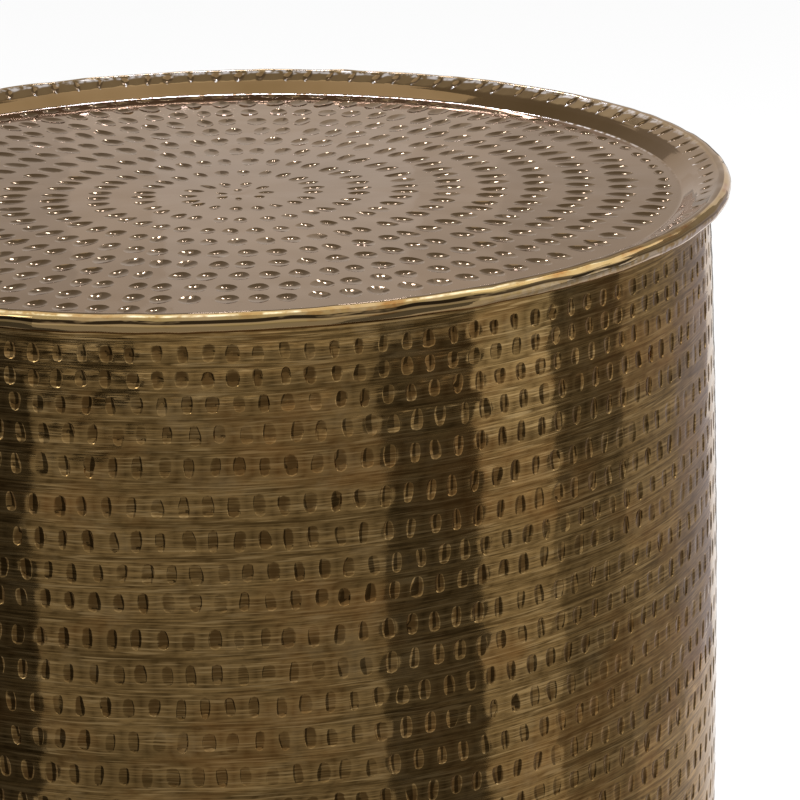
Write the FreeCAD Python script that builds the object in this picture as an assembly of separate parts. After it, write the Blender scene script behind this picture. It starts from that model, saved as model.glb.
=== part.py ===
import FreeCAD, Part
import math
import os

# Drum side table: a barrel-shaped sheet-metal drum with a shallow tray that lifts off its top.
# Lengths are in millimetres. The origin is on the ground under the middle of the drum, and +Z is up.

# Overall sizes
TABLE_HEIGHT = 450.0
TRAY_DIAMETER = 420.0

# Tray: flat floor, flared lip, and a rim rolled over a wire
TRAY_SHEET = 1.2
TRAY_DEPTH = 8.5          # from the top of the rim down to the floor
LIP_WIDTH = 20.0          # from the outside of the rim in to the edge of the floor
LIP_BEND_RADIUS = 6.0     # inside radius of the bend between floor and lip
RIM_DIAMETER = 7.5
RIM_CURL_GAP = 1.2        # between the end of the curled sheet and the underside of the lip
WIRE_CLEARANCE = 0.5

# Drum wall: one barrel-shaped sheet, folded inward to a hem at both edges
WALL_SHEET = 1.6
WALL_BULGE = 4.8          # how far the middle of the wall stands out past its edges
WALL_TO_GROUND = 2.0
RIM_TO_WALL = 1.0         # between the rolled rim and the top of the wall
LIP_TO_WALL = 0.8         # between the underside of the lip and the top of the wall
HEM_TO_RING = 1.0         # between a hem and the ring next to it
BRAZE_GAP = 0.2           # between a ring and the wall it is brazed to

# Tray ledge: the ring that carries the tray, with felt pads on it
LEDGE_THICKNESS = 2.5
LEDGE_REACH = 13.0        # how far the ledge reaches in under the flat of the tray floor
PAD_COUNT = 6
PAD_DIAMETER = 10.0
PAD_HEIGHT = 2.0

# Base: a ring on rubber feet, and a board on the ring
FOOT_COUNT = 6
FOOT_HEIGHT = 10.0
FOOT_TOP_DIAMETER = 26.0
FOOT_BOTTOM_DIAMETER = 22.0
FOOT_TO_HEM = 3.0
BASE_RING_THICKNESS = 2.5
BASE_RING_MARGIN = 4.0    # ring left between a foot and the ring's inner edge
PANEL_THICKNESS = 9.0
PANEL_TO_WALL = 1.0

# Screws that hold feet, base ring and base panel together
SCREW_DIAMETER = 4.0
SCREW_HEAD_DIAMETER = 8.0
SCREW_CROWN_DIAMETER = 5.0
SCREW_HEAD_HEIGHT = 2.5
SCREW_TO_GROUND = 2.5
SCREW_CLEARANCE = 0.25    # round the shank, in foot, washer and base ring
PILOT_CLEARANCE = 0.05    # round the shank and past its tip, in the base panel
PANEL_ABOVE_SCREW = 2.0   # board left above the tip of a screw
WASHER_DIAMETER = 11.0
WASHER_THICKNESS = 1.0
WASHER_CLEARANCE = 0.3    # round the washer, in the recess of the foot

UP = FreeCAD.Vector(0, 0, 1)
ORIGIN = FreeCAD.Vector(0, 0, 0)

# Rim: the circle of the rolled rim's section, and the wire inside it
rim_radius = RIM_DIAMETER / 2
curl_radius = rim_radius - TRAY_SHEET
wire_radius = curl_radius - WIRE_CLEARANCE
rim_center_r = TRAY_DIAMETER / 2 - rim_radius
rim_center_z = TABLE_HEIGHT - rim_radius

# Lip: the straight slope from the edge of the floor that runs tangent onto the rim
floor_z = TABLE_HEIGHT - TRAY_DEPTH
floor_edge_r = TRAY_DIAMETER / 2 - LIP_WIDTH
corner_to_rim_r = rim_center_r - floor_edge_r
corner_to_rim_z = rim_center_z - floor_z
corner_to_rim = math.hypot(corner_to_rim_r, corner_to_rim_z)
lip_slope = math.atan2(corner_to_rim_z, corner_to_rim_r) + math.asin(rim_radius / corner_to_rim)
floor_flat_r = floor_edge_r - LIP_BEND_RADIUS * math.tan(lip_slope / 2)
floor_underside_z = floor_z - TRAY_SHEET

# Wall: a circular arc bowed outward between its two edges
wall_edge_r = rim_center_r - rim_radius - RIM_TO_WALL
hem_thickness = 2 * WALL_SHEET
lip_underside_z = (
    floor_z
    + (wall_edge_r - hem_thickness - floor_edge_r) * math.tan(lip_slope)
    - TRAY_SHEET / math.cos(lip_slope)
)
wall_top_z = lip_underside_z - LIP_TO_WALL
wall_bottom_z = WALL_TO_GROUND
wall_middle_z = (wall_top_z + wall_bottom_z) / 2
wall_half_height = (wall_top_z - wall_bottom_z) / 2
bow_radius = (wall_half_height**2 + WALL_BULGE**2) / (2 * WALL_BULGE)
bow_center_r = wall_edge_r + WALL_BULGE - bow_radius

# Rings and panel inside the wall
ledge_top_z = floor_underside_z - PAD_HEIGHT
ledge_bottom_z = ledge_top_z - LEDGE_THICKNESS
base_ring_top_z = FOOT_HEIGHT + BASE_RING_THICKNESS
panel_top_z = base_ring_top_z + PANEL_THICKNESS
foot_circle_r = wall_edge_r - hem_thickness - FOOT_TO_HEM - FOOT_TOP_DIAMETER / 2

# Heights of a foot screw, from the head up
screw_head_top_z = SCREW_TO_GROUND + SCREW_HEAD_HEIGHT
washer_top_z = screw_head_top_z + WASHER_THICKNESS
screw_tip_z = panel_top_z - PANEL_ABOVE_SCREW


def section_point(r, z):
    """A point of a section, at radius r and height z."""
    return FreeCAD.Vector(r, 0, z)


def line(start, end):
    return Part.LineSegment(start, end).toShape()


def arc(start, middle, end):
    return Part.Arc(start, middle, end).toShape()


def revolve(edges):
    """The solid made by turning a closed section, given as its edges in order, round the Z axis."""
    return Part.Face(Part.Wire(edges)).revolve(ORIGIN, UP, 360)


def disc(radius, bottom_z, top_z, x=0.0, y=0.0):
    return Part.makeCylinder(radius, top_z - bottom_z, FreeCAD.Vector(x, y, bottom_z), UP)


def flat_ring(inner_r, outer_r, bottom_z, top_z):
    return disc(outer_r, bottom_z, top_z).cut(disc(inner_r, bottom_z, top_z))


def circle_of_points(count, radius):
    """The x and y of points evenly spaced on a circle round the Z axis, the first one on +X."""
    angles = [2 * math.pi * index / count for index in range(count)]
    return [(radius * math.cos(angle), radius * math.sin(angle)) for angle in angles]


def wall_radius(z, inset):
    """The radius, at height z, of the wall's outer face moved inward by inset."""
    return bow_center_r + math.sqrt((bow_radius - inset) ** 2 - (z - wall_middle_z) ** 2)


def wall_point(z, inset):
    return section_point(wall_radius(z, inset), z)


def wall_arc(start_z, end_z, inset):
    """A stretch of the bowed wall's section, from one height to another."""
    middle_z = (start_z + end_z) / 2
    return arc(wall_point(start_z, inset), wall_point(middle_z, inset), wall_point(end_z, inset))


def rim_point(radius, angle):
    """A point at a radius and an angle round the middle of the rolled rim's section."""
    return section_point(
        rim_center_r + radius * math.cos(angle),
        rim_center_z + radius * math.sin(angle),
    )


def bend_point(radius, angle):
    """A point of the bend between floor and lip, at an angle from straight down."""
    return section_point(
        floor_flat_r + radius * math.sin(angle),
        floor_z + LIP_BEND_RADIUS - radius * math.cos(angle),
    )


def make_tray_pan():
    """The floor, the lip and the curl of the rim as one sheet of even thickness."""
    tangent_angle = lip_slope + math.pi / 2
    open_angle = math.acos((curl_radius - RIM_CURL_GAP) / rim_radius)
    curl_end_angle = tangent_angle + open_angle - 2 * math.pi
    curl_middle_angle = (tangent_angle + curl_end_angle) / 2
    under_bend_radius = LIP_BEND_RADIUS + TRAY_SHEET
    floor_center = section_point(0, floor_z)
    under_center = section_point(0, floor_underside_z)
    lip_top = rim_point(rim_radius, tangent_angle)
    lip_under = rim_point(curl_radius, tangent_angle)
    curl_outer_end = rim_point(rim_radius, curl_end_angle)
    curl_inner_end = rim_point(curl_radius, curl_end_angle)
    bend_top = [bend_point(LIP_BEND_RADIUS, share * lip_slope) for share in (0.0, 0.5, 1.0)]
    bend_under = [bend_point(under_bend_radius, share * lip_slope) for share in (1.0, 0.5, 0.0)]
    return revolve(
        [
            line(floor_center, bend_top[0]),
            arc(*bend_top),
            line(bend_top[2], lip_top),
            arc(lip_top, rim_point(rim_radius, curl_middle_angle), curl_outer_end),
            line(curl_outer_end, curl_inner_end),
            arc(curl_inner_end, rim_point(curl_radius, curl_middle_angle), lip_under),
            line(lip_under, bend_under[0]),
            arc(*bend_under),
            line(bend_under[2], under_center),
            line(under_center, floor_center),
        ]
    )


def make_rim_wire():
    return Part.makeTorus(rim_center_r, wire_radius, section_point(0, rim_center_z), UP)


def make_drum_wall():
    """The bowed sheet, with a hem of double thickness at its top and bottom edges."""
    nose = WALL_SHEET / 2
    top_fold_z = wall_top_z - nose
    bottom_fold_z = wall_bottom_z + nose
    top_hem_z = ledge_top_z + HEM_TO_RING
    bottom_hem_z = FOOT_HEIGHT - HEM_TO_RING
    top_nose = [section_point(wall_radius(top_fold_z, inset), wall_top_z) for inset in (nose, hem_thickness - nose)]
    bottom_nose = [
        section_point(wall_radius(bottom_fold_z, inset), wall_bottom_z) for inset in (hem_thickness - nose, nose)
    ]
    return revolve(
        [
            wall_arc(bottom_fold_z, top_fold_z, 0.0),
            line(wall_point(top_fold_z, 0.0), top_nose[0]),
            line(*top_nose),
            line(top_nose[1], wall_point(top_fold_z, hem_thickness)),
            wall_arc(top_fold_z, top_hem_z, hem_thickness),
            line(wall_point(top_hem_z, hem_thickness), wall_point(top_hem_z, WALL_SHEET)),
            wall_arc(top_hem_z, bottom_hem_z, WALL_SHEET),
            line(wall_point(bottom_hem_z, WALL_SHEET), wall_point(bottom_hem_z, hem_thickness)),
            wall_arc(bottom_hem_z, bottom_fold_z, hem_thickness),
            line(wall_point(bottom_fold_z, hem_thickness), bottom_nose[0]),
            line(*bottom_nose),
            line(bottom_nose[1], wall_point(bottom_fold_z, 0.0)),
        ]
    )


def make_tray_ledge():
    outer_r = wall_radius(ledge_top_z, WALL_SHEET) - BRAZE_GAP
    return flat_ring(floor_flat_r - LEDGE_REACH, outer_r, ledge_bottom_z, ledge_top_z)


def make_ledge_pads():
    """Felt discs under the outer part of the tray floor, evenly spaced on the ledge."""
    places = circle_of_points(PAD_COUNT, floor_flat_r - LEDGE_REACH / 2)
    return [disc(PAD_DIAMETER / 2, ledge_top_z, floor_underside_z, x, y) for x, y in places]


def make_base_ring():
    """The flat ring on the feet, with a clearance hole for each screw."""
    outer_r = wall_radius(FOOT_HEIGHT, WALL_SHEET) - BRAZE_GAP
    inner_r = foot_circle_r - FOOT_TOP_DIAMETER / 2 - BASE_RING_MARGIN
    ring = flat_ring(inner_r, outer_r, FOOT_HEIGHT, base_ring_top_z)
    hole_r = SCREW_DIAMETER / 2 + SCREW_CLEARANCE
    holes = [
        disc(hole_r, FOOT_HEIGHT, base_ring_top_z, x, y)
        for x, y in circle_of_points(FOOT_COUNT, foot_circle_r)
    ]
    return ring.cut(Part.makeCompound(holes))


def make_base_panel():
    """The round board on the base ring, with a blind pilot hole for each screw."""
    board = disc(wall_radius(base_ring_top_z, WALL_SHEET) - PANEL_TO_WALL, base_ring_top_z, panel_top_z)
    hole_r = SCREW_DIAMETER / 2 + PILOT_CLEARANCE
    holes = [
        disc(hole_r, base_ring_top_z, screw_tip_z + PILOT_CLEARANCE, x, y)
        for x, y in circle_of_points(FOOT_COUNT, foot_circle_r)
    ]
    return board.cut(Part.makeCompound(holes))


def make_rubber_feet():
    """Feet that narrow to the ground, each with a recess from below for its washer and screw head."""
    recess_r = WASHER_DIAMETER / 2 + WASHER_CLEARANCE
    hole_r = SCREW_DIAMETER / 2 + SCREW_CLEARANCE
    feet = []
    for x, y in circle_of_points(FOOT_COUNT, foot_circle_r):
        ground = FreeCAD.Vector(x, y, 0)
        foot = Part.makeCone(FOOT_BOTTOM_DIAMETER / 2, FOOT_TOP_DIAMETER / 2, FOOT_HEIGHT, ground, UP)
        foot = foot.cut(disc(recess_r, 0, washer_top_z, x, y))
        feet.append(foot.cut(disc(hole_r, 0, FOOT_HEIGHT, x, y)))
    return feet


def make_foot_washers():
    hole_r = SCREW_DIAMETER / 2 + SCREW_CLEARANCE
    washers = []
    for x, y in circle_of_points(FOOT_COUNT, foot_circle_r):
        washer = disc(WASHER_DIAMETER / 2, screw_head_top_z, washer_top_z, x, y)
        washers.append(washer.cut(disc(hole_r, screw_head_top_z, washer_top_z, x, y)))
    return washers


def make_foot_screws():
    """Screws with a crowned head, head down, each up through its washer, foot and base ring into the board."""
    screws = []
    for x, y in circle_of_points(FOOT_COUNT, foot_circle_r):
        crown = FreeCAD.Vector(x, y, SCREW_TO_GROUND)
        head = Part.makeCone(SCREW_CROWN_DIAMETER / 2, SCREW_HEAD_DIAMETER / 2, SCREW_HEAD_HEIGHT, crown, UP)
        shank = disc(SCREW_DIAMETER / 2, screw_head_top_z, screw_tip_z, x, y)
        screws.append(head.fuse(shank).removeSplitter())
    return screws


def save(name, solids):
    """Write one node of the table, a single solid or a group of solids."""
    shape = Part.makeCompound(solids) if isinstance(solids, list) else solids
    shape.exportStep("parts/" + name + ".step")


os.makedirs("parts", exist_ok=True)
save("tray_pan", make_tray_pan())
save("rim_wire", make_rim_wire())
save("drum_wall", make_drum_wall())
save("tray_ledge", make_tray_ledge())
save("ledge_pads", make_ledge_pads())
save("base_ring", make_base_ring())
save("base_panel", make_base_panel())
save("rubber_feet", make_rubber_feet())
save("foot_washers", make_foot_washers())
save("foot_screws", make_foot_screws())
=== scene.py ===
import bpy
import numpy as np
from mathutils import Matrix


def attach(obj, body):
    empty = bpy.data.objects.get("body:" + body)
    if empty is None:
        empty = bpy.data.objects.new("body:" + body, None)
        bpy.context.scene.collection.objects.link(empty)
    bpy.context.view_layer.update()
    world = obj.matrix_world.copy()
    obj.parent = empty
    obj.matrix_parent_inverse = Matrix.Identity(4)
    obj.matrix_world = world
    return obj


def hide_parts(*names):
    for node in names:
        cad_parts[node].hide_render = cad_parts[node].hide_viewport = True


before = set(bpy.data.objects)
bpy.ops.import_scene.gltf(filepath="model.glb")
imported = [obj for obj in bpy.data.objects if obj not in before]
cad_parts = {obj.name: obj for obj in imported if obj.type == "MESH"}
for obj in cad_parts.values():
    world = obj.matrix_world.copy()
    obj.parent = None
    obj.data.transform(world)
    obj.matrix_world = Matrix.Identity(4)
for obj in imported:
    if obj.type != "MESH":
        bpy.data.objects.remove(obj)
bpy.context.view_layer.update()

# Sizes of the object are in mm, in the frame of the construction
MM = 0.001
TURN = 2 * np.pi
SHARP_ANGLE = np.radians(50)
chance = np.random.default_rng(7)

# The wall: a bowed sheet, folded inwards to a hem at both edges
WALL_BOTTOM = 2.0
WALL_TOP = 443.9
WALL_MIDDLE = 222.97
WALL_WIDEST = 206.3
BOW_RADIUS = 5088.6
WALL_SHEET = 1.6
HEM_SHEET = 3.2
TOP_HEM_END = 439.3
BOTTOM_HEM_END = 9.0
# Distance inwards from the bowed face, and height, along each hem
TOP_HEM_OUTSIDE = [(0.0, 439.8), (0.0, 443.0), (0.25, 443.6), (0.8, WALL_TOP)]
TOP_HEM_INSIDE = [
    (2.4, WALL_TOP), (2.95, 443.6), (HEM_SHEET, 443.0), (HEM_SHEET, TOP_HEM_END), (WALL_SHEET, TOP_HEM_END),
]
BOTTOM_HEM_INSIDE = [
    (WALL_SHEET, BOTTOM_HEM_END), (HEM_SHEET, BOTTOM_HEM_END), (HEM_SHEET, 2.9), (2.95, 2.3),
    (2.4, WALL_BOTTOM),
]
BOTTOM_HEM_OUTSIDE = [(0.8, WALL_BOTTOM), (0.25, 2.3), (0.0, 2.9), (0.0, 8.0)]
# The plain face inside the wall
PLAIN_TOP = TOP_HEM_END - 4
PLAIN_LINES = 8
PLAIN_COLUMNS = 280

# The marks on the wall: the heights of their rows, the first row of each band, a mark's sizes, and the circle
# on which its width is laid
MARKS_PER_ROW = 140
ROW_HEIGHTS = np.array([
    16.4, 25.8, 35.9, 46.6, 58.2, 71.6, 84.7, 98.3, 111.2, 124.9, 138.0, 151.5, 164.6, 178.2, 191.0, 204.6,
    217.9, 231.0, 245.0, 258.2, 271.6, 285.3, 298.8, 311.9, 325.3, 339.7, 350.7, 363.0, 376.2, 391.0, 403.2,
    414.0, 423.6, 432.9,
])
BELOW_ROWS = 5.4
ABOVE_ROWS = 5.2
BAND_ROWS = np.array([0, 9, 17, 25, 34])
WALL_MARK_HALF_WIDTH = 2.35
WALL_MARK_HALF_LENGTH = 4.4
WALL_MARK_DEPTH = 0.42
WALL_MARK_SIDE = 0.6
WALL_MARK_POWER = 2.5
WALL_MARK_CIRCLE = 205
WALL_RIDGE = 0.13
WORN_OUTLINE = -0.5
WALL_ACROSS = np.array([-1.12, -1, -0.78, 0, 0.78, 1, 1.12])
WALL_ALONG = np.array([-1.08, -1, -0.85, -0.3, 0.3, 0.85, 1, 1.08])
# Length of the line between two neighbouring marks of a row, as a share of a mark's
BETWEEN_SHARE = 0.85

FLOOR_TOP = 441.5
FLOOR_UNDER = 440.3
FLOOR_EDGE = 188.4
# Radius, height and number of points of the rings that close the floor underneath and at its edge
FLOOR_RINGS = [
    (6, FLOOR_UNDER, 24), (40, FLOOR_UNDER, 160), (100, FLOOR_UNDER, 320), (150, FLOOR_UNDER, 480),
    (FLOOR_EDGE, FLOOR_UNDER, 480), (FLOOR_EDGE, FLOOR_TOP, 480),
]
# The small ring inside the spiral of marks, and the dip in its middle
MIDDLE_RADIUS = 2.5
MIDDLE_POINTS = 24
MIDDLE_DIP = 0.15
# Unevenness of the floor, its limit, and the radius where it has faded out, with the width of the fade
FLOOR_UNEVEN = 0.05
FLOOR_UNEVEN_MOST = 0.1
FLOOR_CALM, FLOOR_CALM_WIDTH = 185, 10
# The marks on the tray floor lie on one spiral: its turns, the angle of its outer end, its radius there with
# the fall in a turn, its least radius with the fall in a turn, and its centre with the drift in a turn
FLOOR_TURNS = 10.6
FLOOR_START = np.radians(-100)
SPIRAL_RADIUS = 185.4
SPIRAL_PITCH = 16.5
SPIRAL_TIGHTENING = 0.145
SPIRAL_LEAST = 7
SPIRAL_LEAST_PITCH = 1.5
SPIRAL_CENTRE = (11.2, 9.65)
SPIRAL_DRIFT = (-0.33, -1.31)
# Distance from the axis that a mark's middle and its outer end keep within
FLOOR_LIMIT = 184.0
FLOOR_REACH = 186.9
# Radius, spacing, half width, half length and depth of the marks at a few places
FLOOR_SIZES = np.array([
    [6.0, 8.0, 1.8, 2.6, 0.55],
    [20.0, 8.3, 2.5, 4.6, 0.65],
    [40.0, 9.1, 3.1, 5.4, 0.75],
    [75.0, 10.2, 3.9, 6.4, 0.85],
    [95.0, 11.3, 4.6, 7.1, 0.95],
    [185.0, 11.7, 4.9, 7.3, 1.0],
])
LONGER_AT_BACK = 0.13
FLOOR_MARK_POWER = 2.0
FLOOR_MARK_SIDE = 0.45
# Length and width of a mark with its margin, as a share of its own
LENGTH_MARGIN = 1.08
WIDTH_MARGIN = 1.14
FLOOR_BETWEEN_SHARE = 0.8
FLOOR_ACROSS = np.array([-1.12, -1, -0.5, 0, 0.5, 1, 1.12])
FLOOR_ALONG = np.array([1.05, 1, 0.6, 0.2, -0.2, -0.6, -1, -1.05])

# The lip with its nicks, and the rim rolled over the wire
LIP_CORNER = np.array([190.0, 441.5])
LIP_RIDGE = np.array([196.2, 445.9])
LIP_BEND = 3.0
LIP_BEND_LINES = 5
LIP_NICKS = 116
NICK_HALF_WIDTH = 1.9
NICK_HALF_LENGTH = 3.5
NICK_DEPTH = 0.7
NICK_MIDDLE = 5.0
NICK_POWER = 2.2
NICK_CIRCLE = 200
# Share of each column of a nick's cell that lies beside the nick
BESIDE_NICK = [1, 0.8, 0.3, 0, 0, 0, 0.3, 0.8]
TRAY_SHEET = 1.2
RIM_CENTRE = np.array([206.25, 446.25])
RIM_RADIUS = 3.75
ROLL = np.radians(np.linspace(-172, 120, 36))
CURL_LINES = 18
SEAM_DEGREES = 15
SEAM_DEPTH = 0.22

PADS = 6
PAD_CIRCLE = 181.95
PAD_BOTTOM = 438.3
PAD_TOP = 440.3
PAD_RADIUS = 5.0
PAD_COLUMNS = 32
# Share of a pad's radius and of its height, from the underside's edge to the top
PAD_SECTION = np.array([(0.86, 0), (0.96, 0.12), (1.0, 0.5), (0.95, 0.86), (0.84, 1.0), (0.4, 1.0)])

# The studio is in metres: the ring of cards, the mats before those that stand on the floor or just above it
CARD_RING = 0.85
CARD_COLUMNS = 8
MAT_START, MAT_HEIGHT = 0.23, 0.002
LOW_CARD = 0.02
SHORT_MAT_START, SHORT_MAT_HEIGHT = 0.69, 0.004
WARM_GREY = (1, 0.97, 0.93)
COOL_GREY = (1, 1, 1.12)
# From and to in degrees from the front to the right, bottom, top and level of each card, and a tint if cool
STUDIO_CARDS = [
    (-64, -39, 0.0, 0.268, 0.11),
    (-39, -17, 0.0, 0.268, 0.5),
    (-64, -17, 0.268, 0.31, 0.08),
    (-64, -34, 0.31, 0.9, 0.4),
    (-17, 29.4, 0.0, 0.31, 0.5),
    (-34, 29.4, 0.31, 0.9, 0.85),
    (29.4, 50.2, 0.0, 0.3, 0.18),
    (29.4, 50.2, 0.3, 0.9, 0.6),
    (50.2, 69, 0.0, 0.2, 0.72),
    (69, 90, 0.0, 0.01, 0.48),
    (69, 90, 0.01, 0.15, 0.4),
    (69, 90, 0.15, 0.45, 0.25),
    (90, 113, 0.0, 0.01, 0.72),
    (90, 113, 0.01, 0.05, 0.5),
    (90, 113, 0.05, 0.5, 0.6),
    (113, 138, 0.0, 0.01, 0.95),
    (113, 138, 0.01, 0.5, 0.54, COOL_GREY),
    (150, 164, 0.0, 0.5, 0.26),
    (164, 205, 0.0, 0.5, 0.55),
    (222, 240, 0.0, 0.5, 0.22),
    (240, 296, 0.0, 0.5, 0.55),
    (120, 165, 0.82, 1.7, 0.6),
    (165, 186, 1.14, 1.7, 0.6),
    (88, 134, 0.5, 0.82, 0.42),
    (178, 186, 0.76, 0.94, 0.55),
    (186, 250, 0.76, 1.7, 0.55),
    (183, 187, 0.5, 0.76, 0.9),
    (187, 210, 0.5, 0.76, 0.78),
    (167, 171, 0.5, 0.82, 0.9),
    (150, 167, 0.5, 0.82, 0.8),
    (170, 184, 0.5, 0.615, 0.9),
]
WHITE = (1, 1, 1)
COOL_WHITE = (0.74, 0.8, 1)
# Name, place, target, width and height, watts and colour of each lamp
STUDIO_LAMPS = [
    ("soft_box_top", (0.0, 0.4, 2.1), (0.0, 0.3999, 0.4), (2.6, 1.6), 10.5, WHITE),
    ("soft_box_back_left", (0.0, 1.39, 1.415), (0.0, 0.0, 0.44), (0.06, 0.06), 0.5, COOL_WHITE),
    ("soft_box_back_right", (0.19, 1.39, 1.415), (0.0, 0.0, 0.44), (0.06, 0.06), 0.5, COOL_WHITE),
    ("soft_box_left", (-1.7, -0.9, 1.7), (0, 0, 0.3), (1.0, 1.0), 14, WHITE),
    ("soft_box_right", (1.9, 0.3, 1.5), (0, 0, 0.3), (1.6, 2.0), 10, WHITE),
]
PAPER_GREY = (0.45, 0.45, 0.45, 1)
PAPER_GLOW = 0.68
PAPER_HALF = 6
WORLD_LIGHT = 0.55
WORLD_SEEN = 1.0
CAMERA_PLACE = (0.0, -1.2822, 0.7611)
CAMERA_PITCH, CAMERA_YAW, CAMERA_ROLL = np.radians([17.795, 3.251, -1.179])
SENSOR_MM = 36.0
FOCAL_PIXELS = 3189
PICTURE_PIXELS = 800


def wall_radius(height):
    """Radius of the bowed wall: the bow's middle plus the root of its radius squared less a height squared.

    The height counts from the middle of the wall.
    """
    return WALL_WIDEST - BOW_RADIUS + np.sqrt(BOW_RADIUS ** 2 - (height - WALL_MIDDLE) ** 2)


def mark_lines(across, along, power):
    """Grid lines of one hammer mark in half widths and half lengths, with the level of each crossing.

    Level L is an outline L times as large as the mark's own, on which x and y, each to the power, add up to
    one. A power of two is an ellipse, and a larger one a rectangle with round corners.
    """
    a, b = np.meshgrid(across, along)
    level = np.maximum(np.abs(a), np.abs(b))
    x = a * np.sqrt(1 - (b / level) ** 2 / 2)
    y = b * np.sqrt(1 - (a / level) ** 2 / 2)
    reach = (np.abs(x / level) ** power + np.abs(y / level) ** power) ** (-1 / power)
    return x * reach, y * reach, level


def scatter(spread, limit, shape):
    """Chance values about nothing with a given spread, kept within a limit on both sides."""
    return chance.normal(0, spread, shape).clip(-limit, limit)


def waves(angle, height, count, tallest, slowest, fastest):
    """Gentle unevenness round the drum: a sum of waves that drift with the height.

    Each wave has a whole number of turns.
    """
    turns = chance.integers(slowest, fastest, count)
    climb = chance.uniform(-tallest, tallest, count)
    start = chance.uniform(0, TURN, count)
    total = np.zeros_like(angle)
    for n, c, s in zip(turns, climb, start):
        total += np.sin(n * angle + c * height + s)
    return total / np.sqrt(count)


def ripples(x, y, count, shortest, longest):
    """Gentle unevenness of a flat sheet: a sum of straight waves of chance lengths and directions."""
    total = np.zeros_like(x)
    for length, turn, start in chance.uniform((shortest, 0, 0), (longest, TURN, TURN), (count, 3)):
        total += np.sin(TURN * (x * np.cos(turn) + y * np.sin(turn)) / length + start)
    return total / np.sqrt(count)


def row_sway(angle):
    """Rise and fall of a row of wall marks: a sum of two waves, of three and of eight turns."""
    return 0.5 * np.sin(3 * angle + 1) + 0.35 * np.sin(8 * angle + 2)


def on_circle(radius, angle, height):
    """Points at a radius, angle and height about the drum's axis."""
    return np.stack([radius * np.cos(angle), radius * np.sin(angle), height + 0 * radius * angle], axis=-1)


def sheet_faces(first, lines, columns):
    """Quads between neighbouring lines of points, each line closed on itself."""
    line = first + columns * np.arange(lines - 1)[:, None]
    here = np.arange(columns)[None, :]
    after = (here + 1) % columns
    above = line + columns
    return np.stack([line + here, line + after, above + after, above + here], axis=-1).reshape(-1, 4)


def closed(line, angle):
    """A line and its angles, with the first point once more at the end."""
    return np.append(line, line[0]), np.append(angle, angle[0] + TURN)


def bearings(points, centre_x, centre_y, near):
    """Angles of points about a centre, without jumps, the first one within half a turn of a given angle."""
    angle = np.unwrap(np.arctan2(points[:, 1] - centre_y, points[:, 0] - centre_x))
    return angle + TURN * np.round((near - angle[0]) / TURN)


def zip_faces(low, low_angle, high, high_angle):
    """Triangles between two lines with different counts of points.

    The edges of both lines are taken in the order of the angle at which they end. An edge's third corner is
    the point that the other line has reached by then.
    """
    high_reached = high[np.searchsorted(high_angle[1:], low_angle[1:], side="left")]
    low_reached = low[np.searchsorted(low_angle[1:], high_angle[1:], side="right")]
    return np.concatenate([
        np.stack([low[:-1], low[1:], high_reached], axis=1),
        np.stack([high[1:], high[:-1], low_reached], axis=1),
    ])


def fan_faces(centre, line):
    """Triangles from a point to each edge of a closed line."""
    return np.stack([line, np.roll(line, -1), np.full_like(line, centre)], axis=1)


def add_piece(name, points, blocks, material, slot, body, nodes, **attributes):
    """A mesh of the named piece from points in mm, blocks of faces and attributes of the points.

    It rides on a body and stands for CAD nodes.
    """
    corners = np.concatenate([block.ravel() for block in blocks]).astype(np.int32)
    sizes = np.concatenate([np.full(len(block), block.shape[1]) for block in blocks])
    starts = np.concatenate([[0], np.cumsum(sizes)[:-1]]).astype(np.int32)
    mesh = bpy.data.meshes.new(name)
    mesh.vertices.add(len(points))
    mesh.vertices.foreach_set("co", (points * MM).astype(np.float32).ravel())
    mesh.loops.add(len(corners))
    mesh.loops.foreach_set("vertex_index", corners)
    mesh.polygons.add(len(sizes))
    mesh.polygons.foreach_set("loop_start", starts)
    mesh.polygons.foreach_set("use_smooth", np.ones(len(sizes), bool))
    mesh.update(calc_edges=True)
    mesh.set_sharp_from_angle(angle=SHARP_ANGLE)
    for key, values in attributes.items():
        mesh.attributes.new(key, "FLOAT", "POINT").data.foreach_set("value", values.astype(np.float32))
    mesh.materials.append(material)
    piece = bpy.data.objects.new(name, mesh)
    bpy.context.scene.collection.objects.link(piece)
    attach(piece, body)
    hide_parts(*nodes)
    return piece


def add_creases(piece, outline):
    """Makes each edge sharp that joins two points of an outline."""
    edges = np.empty(2 * len(piece.data.edges), np.int32)
    piece.data.edges.foreach_get("vertices", edges)
    sharp = piece.data.attributes["sharp_edge"].data
    marked = np.empty(len(sharp), bool)
    sharp.foreach_get("value", marked)
    sharp.foreach_set("value", marked | outline[edges].reshape(-1, 2).all(axis=1))


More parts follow.
